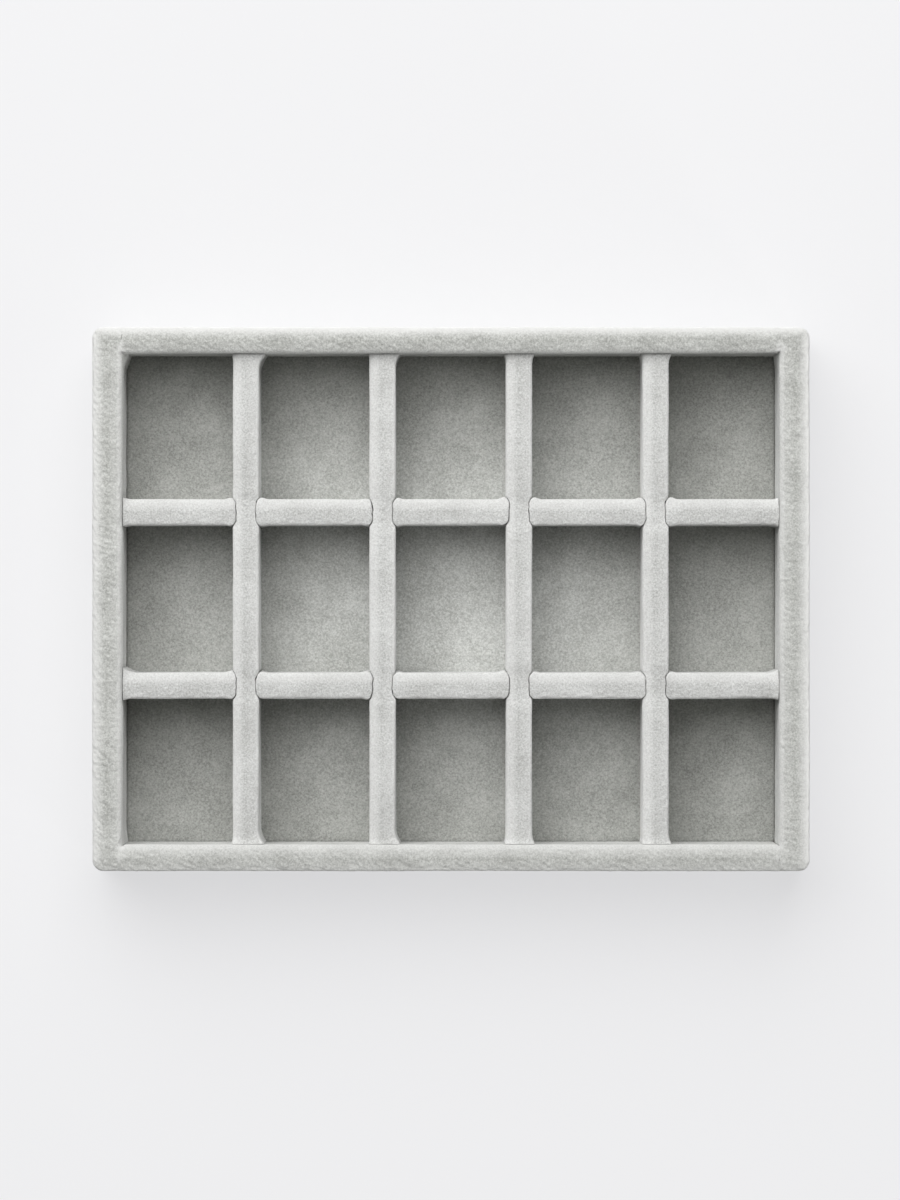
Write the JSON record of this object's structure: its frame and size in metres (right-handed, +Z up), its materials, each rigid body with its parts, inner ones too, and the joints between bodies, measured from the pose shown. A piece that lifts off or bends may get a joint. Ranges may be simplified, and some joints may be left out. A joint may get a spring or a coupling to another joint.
{
  "type": "jewellery tray insert",
  "caption": "Shallow velour-covered drawer insert with padded walls and a lift-out lattice of padded dividers that makes rows of small compartments.",
  "frame": {"origin": "middle of the underside", "axes": "+X along the long side to the right, +Y to the back, +Z up out of the compartments"},
  "size_m": [0.155, 0.1174, 0.025],
  "materials": {
    "velour": "matte",
    "foam": "matte",
    "felt": "matte",
    "greyboard": "matte"
  },
  "bodies": {
    "tray": {"underside_felt": "felt", "base_board": "greyboard", "floor_card": "greyboard", "floor_velour": "velour", "left_wall_board": "greyboard", "left_wall_foam": "foam", "left_wall_velour": "velour", "right_wall_board": "greyboard", "right_wall_foam": "foam", "right_wall_velour": "velour", "front_wall_board": "greyboard", "front_wall_foam": "foam", "front_wall_velour": "velour", "back_wall_board": "greyboard", "back_wall_foam": "foam", "back_wall_velour": "velour"},
    "cross_dividers": {"cross_divider_1_core": "greyboard", "cross_divider_1_foam": "foam", "cross_divider_1_velour": "velour", "cross_divider_2_core": "greyboard", "cross_divider_2_foam": "foam", "cross_divider_2_velour": "velour"},
    "long_divider_1": {"long_divider_1_core": "greyboard", "long_divider_1_foam": "foam", "long_divider_1_velour": "velour"},
    "long_divider_2": {"long_divider_2_core": "greyboard", "long_divider_2_foam": "foam", "long_divider_2_velour": "velour"},
    "long_divider_3": {"long_divider_3_core": "greyboard", "long_divider_3_foam": "foam", "long_divider_3_velour": "velour"},
    "long_divider_4": {"long_divider_4_core": "greyboard", "long_divider_4_foam": "foam", "long_divider_4_velour": "velour"}
  },
  "joints": [
    {"name": "lattice_lift", "type": "slide", "parent": "tray", "child": "cross_dividers", "axis": [0, 0, 1], "range_m": [0, 0.03]},
    {"name": "long_divider_1_lift", "type": "slide", "parent": "cross_dividers", "child": "long_divider_1", "axis": [0, 0, 1], "range_m": [0, 0.03]},
    {"name": "long_divider_2_lift", "type": "slide", "parent": "cross_dividers", "child": "long_divider_2", "axis": [0, 0, 1], "range_m": [0, 0.03]},
    {"name": "long_divider_3_lift", "type": "slide", "parent": "cross_dividers", "child": "long_divider_3", "axis": [0, 0, 1], "range_m": [0, 0.03]},
    {"name": "long_divider_4_lift", "type": "slide", "parent": "cross_dividers", "child": "long_divider_4", "axis": [0, 0, 1], "range_m": [0, 0.03]}
  ]
}
